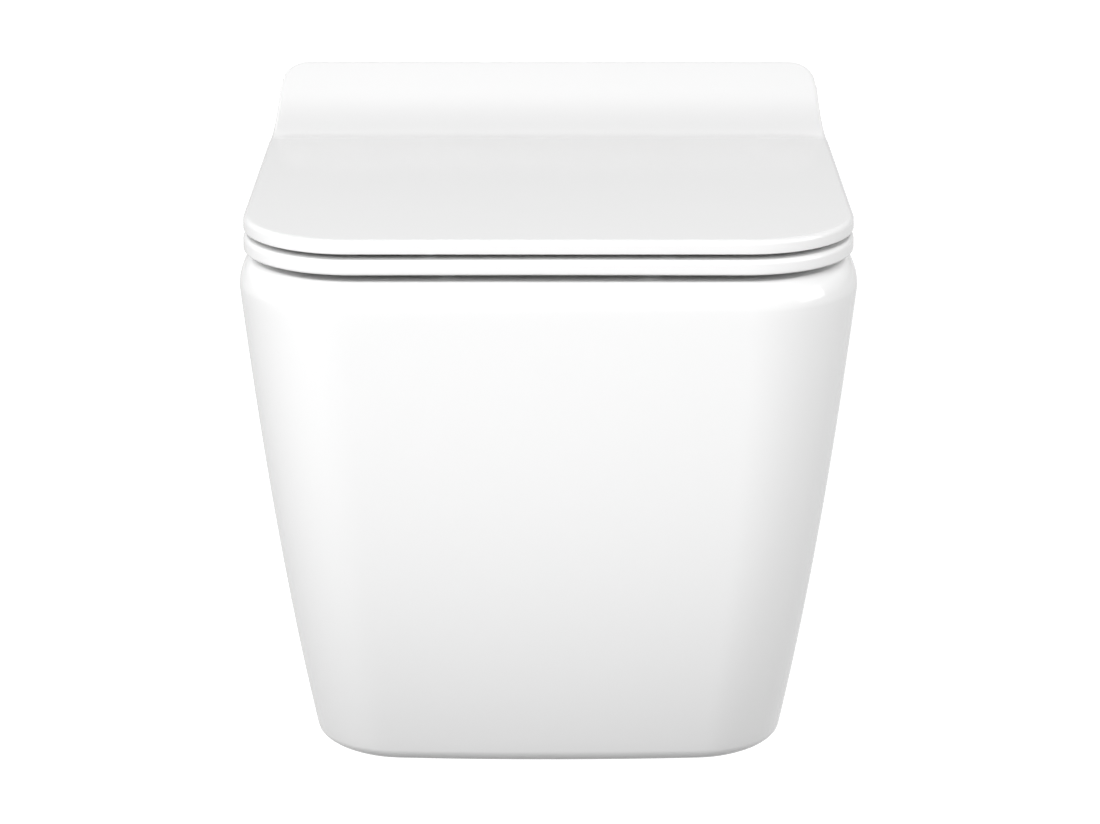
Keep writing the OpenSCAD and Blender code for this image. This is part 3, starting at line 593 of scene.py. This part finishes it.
def ramp(y):
    """How far the lid has risen at a distance from the wall."""
    d, reach = y + RAMP_FROM, RAMP_R * math.sin(RAMP_ANGLE)
    if d <= 0:
        return 0.0
    if d < reach:
        return RAMP_R - math.sqrt(RAMP_R ** 2 - d * d)
    return RAMP_R * (1 - math.cos(RAMP_ANGLE)) + (d - reach) * math.tan(RAMP_ANGLE)


def on_top(below):
    """Height a little below the lid's top, whatever the ramp does there."""
    return lambda y, turned: LID_TOP + ramp(y) - below


def on_foot(above):
    """Height a little above the lid's lower edge, which sweeps up round the rear corners."""
    return lambda y, turned: LID_LOW + above + turned * (LID_T + ramp(y) - LID_REAR_LOW)


def lid_rows():
    """Rows of points round the lid, from under its plate over the lip to its top."""
    sides = between(-RAMP_FROM, -LID_REAR - LID_CORNER_R - LID_CORNER_RUN, LID_SIDE_POINTS)
    plan = whole(half_outline(LID_HALF, LID_FRONT, LID_HALF - LID_DRAW, -LID_REAR,
                              (CORNER_W, CORNER_L), LID_CORNER_R, sides, 0.0, LID_POINTS))
    n, rear_corner_n = len(plan), LID_POINTS[2]
    corner_first = n // 2 - 1 - rear_corner_n

    def row_at(setback, height):
        points = []
        for i in range(n):
            into = inward(plan, i)
            x, y = plan[i][0] + into.x * setback, plan[i][1] + into.y * setback
            turned = max(0, min(i, n - 1 - i) - corner_first) / rear_corner_n
            points.append((x, y, height(y, turned)))
        return points

    under = [row_at(LIP_W + lead, on_top(PLATE_T)) for lead in UNDER_LEADS]
    lip = [row_at(setback, on_foot(above)) for setback, above in
           ((LIP_W, LIP_CUT), (LIP_W - LIP_CUT, 0), (LIP_R, 0), (LIP_MID, LIP_MID), (0, LIP_R))]
    edge = [row_at(EDGE_R * (1 - math.cos(a)), on_top(EDGE_R * (1 - math.sin(a))))
            for a in between(0, QUARTER, LID_EDGE_ROWS)]
    return under + lip + edge + [row_at(EDGE_R + EDGE_LEAD, on_top(0))]


def make_lid():
    """Lid with its turned-down lip and its two lugs."""
    bm, first, last = sleeve(lid_rows())
    for ring in (first, last):
        bmesh.ops.contextual_create(bm, geom=ring)
        n = len(ring)
        # Bands across, so that the faces follow the ramp
        for i in range(1, n // 2 - 1):
            bmesh.ops.connect_verts(bm, verts=[ring[i], ring[n - 1 - i]])
    lid = piece_from(bm, "lid_shell")
    top = LID_TOP - PLATE_T + WEB_SET_IN
    low_half = BARREL_R - BARREL_LAP
    web = [(PIVOT_Y - low_half, PIVOT_Z), (PIVOT_Y + low_half, PIVOT_Z)]
    web += [(PIVOT_Y + y, top + ramp(PIVOT_Y + y)) for y in (WEB_HALF, -WEB_HALF)]
    # Lid lugs stand on the outer side of both barrels
    spans = [(-HINGE_X - LUG_OUT, -HINGE_X - LUG_IN), (HINGE_X + LUG_IN, HINGE_X + LUG_OUT)]
    add_lugs(lid, web, spans, keyed=1, bushed=0)
    return lid


# Shared effects of the finishes

def put(tree, kind, **settings):
    """Adds a node; a setting whose name is a socket's sets that socket."""
    node = tree.nodes.new(kind)
    for name, value in settings.items():
        socket = node.inputs.get(name.replace("_", " "))
        if socket is not None and not hasattr(type(node), name):
            socket.default_value = value
        else:
            setattr(node, name, value)
    return node


def wire(tree, *pairs):
    """Links the output of each pair to its input."""
    for source, sink in pairs:
        tree.links.new(source, sink)


def noise(tree, **settings):
    """Noise on the piece's own coordinates."""
    place = put(tree, "ShaderNodeTexCoord")
    cloud = put(tree, "ShaderNodeTexNoise", **settings)
    wire(tree, (place.outputs["Object"], cloud.inputs["Vector"]))
    return cloud


def effect(name, inputs, outputs):
    """Empty effect group with named inputs and outputs."""
    tree = bpy.data.node_groups.new(name, "ShaderNodeTree")
    for title, kind, value in inputs:
        socket = tree.interface.new_socket(title, in_out="INPUT", socket_type=kind)
        socket.default_value = value
    for title, kind in outputs:
        tree.interface.new_socket(title, in_out="OUTPUT", socket_type=kind)
    return tree, tree.nodes.new("NodeGroupInput"), tree.nodes.new("NodeGroupOutput")


def ripple_effect():
    """Broad waves and fine orange peel of a poured or pressed gloss surface."""
    tree, given, out = effect("gloss_ripple",
                              [("Wave depth", "NodeSocketFloat", 0.00006),
                               ("Peel depth", "NodeSocketFloat", 0.000003)],
                              [("Normal", "NodeSocketVector")])
    wave = noise(tree, Scale=11.0, Detail=1.0, Roughness=0.4)
    peel = noise(tree, Scale=240.0, Detail=2.0, Roughness=0.5)
    deep = put(tree, "ShaderNodeMath", operation="MULTIPLY")
    fine = put(tree, "ShaderNodeMath", operation="MULTIPLY")
    height = put(tree, "ShaderNodeMath", operation="ADD")
    bump = put(tree, "ShaderNodeBump", Strength=1.0, Distance=1.0)
    wire(tree,
         (wave.outputs["Fac"], deep.inputs[0]), (given.outputs["Wave depth"], deep.inputs[1]),
         (peel.outputs["Fac"], fine.inputs[0]), (given.outputs["Peel depth"], fine.inputs[1]),
         (deep.outputs[0], height.inputs[0]), (fine.outputs[0], height.inputs[1]),
         (height.outputs[0], bump.inputs["Height"]), (bump.outputs[0], out.inputs["Normal"]))
    return tree


def tone_effect():
    """Slight drift of a colour over the surface."""
    tree, given, out = effect("tone_drift",
                              [("Colour", "NodeSocketColor", (0.9, 0.9, 0.9, 1)),
                               ("Drift", "NodeSocketFloat", 0.02),
                               ("Size", "NodeSocketFloat", 8.0)],
                              [("Colour", "NodeSocketColor")])
    cloud = noise(tree, Detail=3.0, Roughness=0.55)
    half = put(tree, "ShaderNodeMath", operation="SUBTRACT")
    half.inputs[1].default_value = 0.5
    share = put(tree, "ShaderNodeMath", operation="MULTIPLY_ADD")
    share.inputs[2].default_value = 1.0
    tint = put(tree, "ShaderNodeVectorMath", operation="SCALE")
    wire(tree,
         (given.outputs["Size"], cloud.inputs["Scale"]),
         (cloud.outputs["Fac"], half.inputs[0]), (half.outputs[0], share.inputs[0]),
         (given.outputs["Drift"], share.inputs[1]),
         (given.outputs["Colour"], tint.inputs[0]), (share.outputs[0], tint.inputs["Scale"]),
         (tint.outputs[0], out.inputs["Colour"]))
    return tree


def sheen_effect():
    """Roughness that wanders a little, as wiping and handling leave it."""
    tree, given, out = effect("wiped_sheen",
                              [("Roughness", "NodeSocketFloat", 0.1),
                               ("Spread", "NodeSocketFloat", 0.03),
                               ("Size", "NodeSocketFloat", 18.0)],
                              [("Roughness", "NodeSocketFloat")])
    cloud = noise(tree, Detail=4.0, Roughness=0.6)
    share = put(tree, "ShaderNodeMath", operation="MULTIPLY_ADD")
    wire(tree,
         (given.outputs["Size"], cloud.inputs["Scale"]),
         (cloud.outputs["Fac"], share.inputs[0]), (given.outputs["Spread"], share.inputs[1]),
         (given.outputs["Roughness"], share.inputs[2]),
         (share.outputs[0], out.inputs["Roughness"]))
    return tree


def grain_effect():
    """Fine grain of moulded plastic, rubber and bare clay."""
    tree, given, out = effect("moulded_grain",
                              [("Grain size", "NodeSocketFloat", 900.0),
                               ("Depth", "NodeSocketFloat", 0.00002)],
                              [("Normal", "NodeSocketVector")])
    grain = noise(tree, Detail=3.0, Roughness=0.65)
    bump = put(tree, "ShaderNodeBump", Strength=1.0)
    wire(tree,
         (given.outputs["Grain size"], grain.inputs["Scale"]),
         (grain.outputs["Fac"], bump.inputs["Height"]),
         (given.outputs["Depth"], bump.inputs["Distance"]),
         (bump.outputs[0], out.inputs["Normal"]))
    return tree


def brushed_effect():
    """Fine lines of ground or brushed steel, running along X."""
    tree, given, out = effect("brushed_lines", [("Depth", "NodeSocketFloat", 0.00001)],
                              [("Normal", "NodeSocketVector")])
    place = put(tree, "ShaderNodeTexCoord")
    stretch = put(tree, "ShaderNodeMapping", Scale=(40.0, 1600.0, 1600.0))
    lines = put(tree, "ShaderNodeTexNoise", Scale=1.0, Detail=3.0, Roughness=0.6)
    bump = put(tree, "ShaderNodeBump", Strength=1.0)
    wire(tree,
         (place.outputs["Object"], stretch.inputs["Vector"]),
         (stretch.outputs[0], lines.inputs["Vector"]),
         (lines.outputs["Fac"], bump.inputs["Height"]),
         (given.outputs["Depth"], bump.inputs["Distance"]),
         (bump.outputs[0], out.inputs["Normal"]))
    return tree


EFFECTS = {"ripple": ripple_effect(), "tone": tone_effect(), "sheen": sheen_effect(),
           "grain": grain_effect(), "brushed": brushed_effect()}


# Finishes

def place_effect(tree, kind, values):
    """Puts a shared effect in a material with its own values."""
    group = put(tree, "ShaderNodeGroup", node_tree=EFFECTS[kind])
    for title, value in values.items():
        group.inputs[title].default_value = value
    return group.outputs[0]


def make_finish(name, tone, sheen, surface, values, **shader_values):
    """Material from the shared effects: a tone, a sheen, and a surface with its values."""
    material = bpy.data.materials.new(name)
    material.use_nodes = True
    tree = material.node_tree
    shader = tree.nodes["Principled BSDF"]
    for title, value in shader_values.items():
        shader.inputs[title].default_value = value
    colour, drift, size = tone
    roughness, spread = sheen
    tone_out = place_effect(tree, "tone", {"Colour": (*colour, 1), "Drift": drift, "Size": size})
    sheen_out = place_effect(tree, "sheen", {"Roughness": roughness, "Spread": spread})
    relief_out = place_effect(tree, surface, values)
    wire(tree,
         (tone_out, shader.inputs["Base Color"]),
         (sheen_out, shader.inputs["Roughness"]),
         (relief_out, shader.inputs["Normal"]))
    return material


# Name; colour with its drift and the drift's size; roughness with its spread; surface
FINISHES = {
    "glazed_ceramic": make_finish(
        "vitreous_glaze", ((0.93, 0.93, 0.93), 0.012, 5.0), (0.05, 0.03),
        "ripple", {"Wave depth": 0.00009, "Peel depth": 0.000002}, IOR=1.52),
    "white_thermoset": make_finish(
        "pressed_thermoset", ((0.925, 0.925, 0.925), 0.01, 7.0), (0.07, 0.04),
        "ripple", {"Wave depth": 0.00004, "Peel depth": 0.000003}, IOR=1.5),
    "white_plastic": make_finish(
        "white_cap_plastic", ((0.9, 0.9, 0.89), 0.02, 8.0), (0.22, 0.08),
        "grain", {"Grain size": 1200.0, "Depth": 0.00001}),
    "grey_plastic": make_finish(
        "grey_nylon", ((0.34, 0.37, 0.4), 0.06, 40.0), (0.42, 0.15),
        "grain", {"Grain size": 1100.0, "Depth": 0.00004}),
    "dark_plastic": make_finish(
        "dark_nylon", ((0.03, 0.033, 0.037), 0.15, 40.0), (0.4, 0.2),
        "grain", {"Grain size": 1100.0, "Depth": 0.00005}),
    "polished_steel": make_finish(
        "chromed_steel", ((0.78, 0.79, 0.81), 0.03, 30.0), (0.06, 0.08),
        "ripple", {"Wave depth": 0.00001, "Peel depth": 0.000004}, Metallic=1.0),
    "stainless_steel": make_finish(
        "turned_stainless", ((0.6, 0.6, 0.61), 0.05, 60.0), (0.24, 0.12),
        "brushed", {"Depth": 0.00002}, Metallic=1.0),
    "grey_rubber": make_finish(
        "grey_seal_rubber", ((0.16, 0.16, 0.165), 0.12, 60.0), (0.65, 0.2),
        "grain", {"Grain size": 1600.0, "Depth": 0.00006}),
    "dark_rubber": make_finish(
        "black_rubber", ((0.018, 0.018, 0.019), 0.2, 60.0), (0.6, 0.25),
        "grain", {"Grain size": 1600.0, "Depth": 0.00006}),
    "pale_rubber": make_finish(
        "pale_buffer_rubber", ((0.55, 0.56, 0.56), 0.06, 60.0), (0.5, 0.2),
        "grain", {"Grain size": 1500.0, "Depth": 0.00004}),
}


def leave_bare_clay(material):
    """Lets the unglazed faces of the pan show their matt, slightly speckled body."""
    tree = material.node_tree
    shader = tree.nodes["Principled BSDF"]
    mark = put(tree, "ShaderNodeAttribute", attribute_name="bare")
    clay = place_effect(tree, "tone", {"Colour": (0.74, 0.715, 0.67, 1), "Drift": 0.16,
                                       "Size": 160.0})
    dry = place_effect(tree, "sheen", {"Roughness": 0.66, "Spread": 0.2, "Size": 90.0})
    grit = place_effect(tree, "grain", {"Grain size": 420.0, "Depth": 0.00018})
    for kind, source, title in (("RGBA", clay, "Base Color"),
                                ("FLOAT", dry, "Roughness"),
                                ("VECTOR", grit, "Normal")):
        choice = put(tree, "ShaderNodeMix", data_type=kind)
        share, glazed, bare = [socket for socket in choice.inputs if socket.enabled]
        chosen = next(output for output in choice.outputs if output.enabled)
        wire(tree,
             (mark.outputs["Fac"], share),
             (shader.inputs[title].links[0].from_socket, glazed),
             (source, bare),
             (chosen, shader.inputs[title]))


def dress_cad_nodes():
    """Gives every CAD node the finish of its slot."""
    for row in frame["record"]["subparts"]:
        node = frame["nodes"][row["node"]]
        material = FINISHES[row["material_slot"]]
        if not node.material_slots:
            node.data.materials.append(material)
        for holder in node.material_slots:
            holder.material = material


# Studio, in metres and watts

CAMERA_PLACE, CAMERA_TILT, CAMERA_LENS = (0.0009, -3.0976, 0.6106), 13.147, 149.56
FLOOR_Z, FLOOR_HALF, FLOOR_GLOW = -320.0, 12000.0, 0.65
# How high in the sky each band of light is, and how bright
SKY = ((0.05, 0.67), (0.42, 1.16), (0.85, 0.05))
LAMP_AIM = Vector((0, -0.3, 0))
LAMPS = (("front_softbox", (-0.27, -3.37, 1.44), 2.0, 1.4, 47.5),
         ("front_left_softbox", (-1.96, -2.26, 1.6), 1.6, 1.6, 31),
         ("left_softbox", (-2.83, -0.7, 0.93), 1.8, 1.4, 9.7),
         ("right_softbox", (2.83, -0.7, 0.93), 1.8, 1.4, 21.3))


def set_camera():
    """Camera of the photo, level along X and tilted down to the rim."""
    view = bpy.data.cameras.new("photo_view")
    view.lens = CAMERA_LENS
    view.sensor_width = 36.0
    view.clip_end = 100.0
    holder = bpy.data.objects.new("photo_view", view)
    holder.location = CAMERA_PLACE
    holder.rotation_euler = (math.radians(90 - CAMERA_TILT), 0, 0)
    bpy.context.scene.collection.objects.link(holder)
    bpy.context.scene.camera = holder


def hang_lamp(name, place, width, height, power):
    """Soft rectangular lamp that faces the object."""
    light = bpy.data.lights.new(name, "AREA")
    light.shape = "RECTANGLE"
    light.size, light.size_y, light.energy = width, height, power
    holder = bpy.data.objects.new(name, light)
    holder.location = place
    holder.rotation_euler = (LAMP_AIM - Vector(place)).to_track_quat("-Z", "Y").to_euler()
    holder.visible_camera = False
    bpy.context.scene.collection.objects.link(holder)


def light_sky():
    """Pale surroundings; seen straight they are as white as the floor, so no horizon shows."""
    world = bpy.data.worlds.new("pale_surroundings")
    bpy.context.scene.world = world
    world.use_nodes = True
    tree = world.node_tree
    background = tree.nodes["Background"]
    place = put(tree, "ShaderNodeTexCoord")
    height = put(tree, "ShaderNodeSeparateXYZ")
    fade = put(tree, "ShaderNodeValToRGB")
    bands = fade.color_ramp.elements
    bands.new(SKY[1][0])
    for band, (where, amount) in zip(bands, SKY):
        band.position = where
        band.color = (amount, amount, amount, 1)
    rays = put(tree, "ShaderNodeLightPath")
    seen = put(tree, "ShaderNodeMixRGB", Color2=(1, 1, 1, 1))
    wire(tree,
         (place.outputs["Generated"], height.inputs[0]),
         (height.outputs["Z"], fade.inputs["Fac"]),
         (rays.outputs["Is Camera Ray"], seen.inputs["Fac"]),
         (fade.outputs["Color"], seen.inputs["Color1"]),
         (seen.outputs["Color"], background.inputs["Color"]))


def lay_floor():
    """Paper that looks white, mirrors pale grey, returns little light and is clear from below."""
    bm = bmesh.new()
    bmesh.ops.create_grid(bm, x_segments=1, y_segments=1, size=FLOOR_HALF)
    bmesh.ops.translate(bm, vec=(0, 0, FLOOR_Z), verts=bm.verts)
    bmesh.ops.scale(bm, vec=(MM, MM, MM), verts=bm.verts)
    sheet = piece_from(bm, "studio_floor")
    paper = bpy.data.materials.new("studio_paper")
    paper.use_nodes = True
    tree = paper.node_tree
    shader = tree.nodes["Principled BSDF"]
    shader.inputs["Base Color"].default_value = (0.16, 0.16, 0.16, 1)
    shader.inputs["Roughness"].default_value = 0.95
    shader.inputs["Emission Color"].default_value = (1, 1, 1, 1)
    rays = put(tree, "ShaderNodeLightPath")
    lit = put(tree, "ShaderNodeMath", operation="MULTIPLY_ADD")
    lit.inputs[1].default_value = FLOOR_GLOW
    facing = put(tree, "ShaderNodeNewGeometry")
    front = put(tree, "ShaderNodeMath", operation="SUBTRACT")
    front.inputs[0].default_value = 1.0
    wire(tree,
         (rays.outputs["Is Glossy Ray"], lit.inputs[0]),
         (rays.outputs["Is Camera Ray"], lit.inputs[2]),
         (lit.outputs[0], shader.inputs["Emission Strength"]),
         (facing.outputs["Backfacing"], front.inputs[1]),
         (front.outputs[0], shader.inputs["Alpha"]))
    sheet.data.materials.append(paper)


leave_bare_clay(FINISHES["glazed_ceramic"])
set_camera()
finish_piece(make_pan(), "pan", "ceramic_pan", "glazed_ceramic")
finish_piece(make_seat(), "seat", "seat_ring", "white_thermoset")
finish_piece(make_lid(), "lid", "lid", "white_thermoset")
dress_cad_nodes()
lay_floor()
light_sky()
for lamp in LAMPS:
    hang_lamp(*lamp)
bpy.context.scene.view_settings.view_transform = "Standard"
bpy.context.scene.view_settings.look = "None"
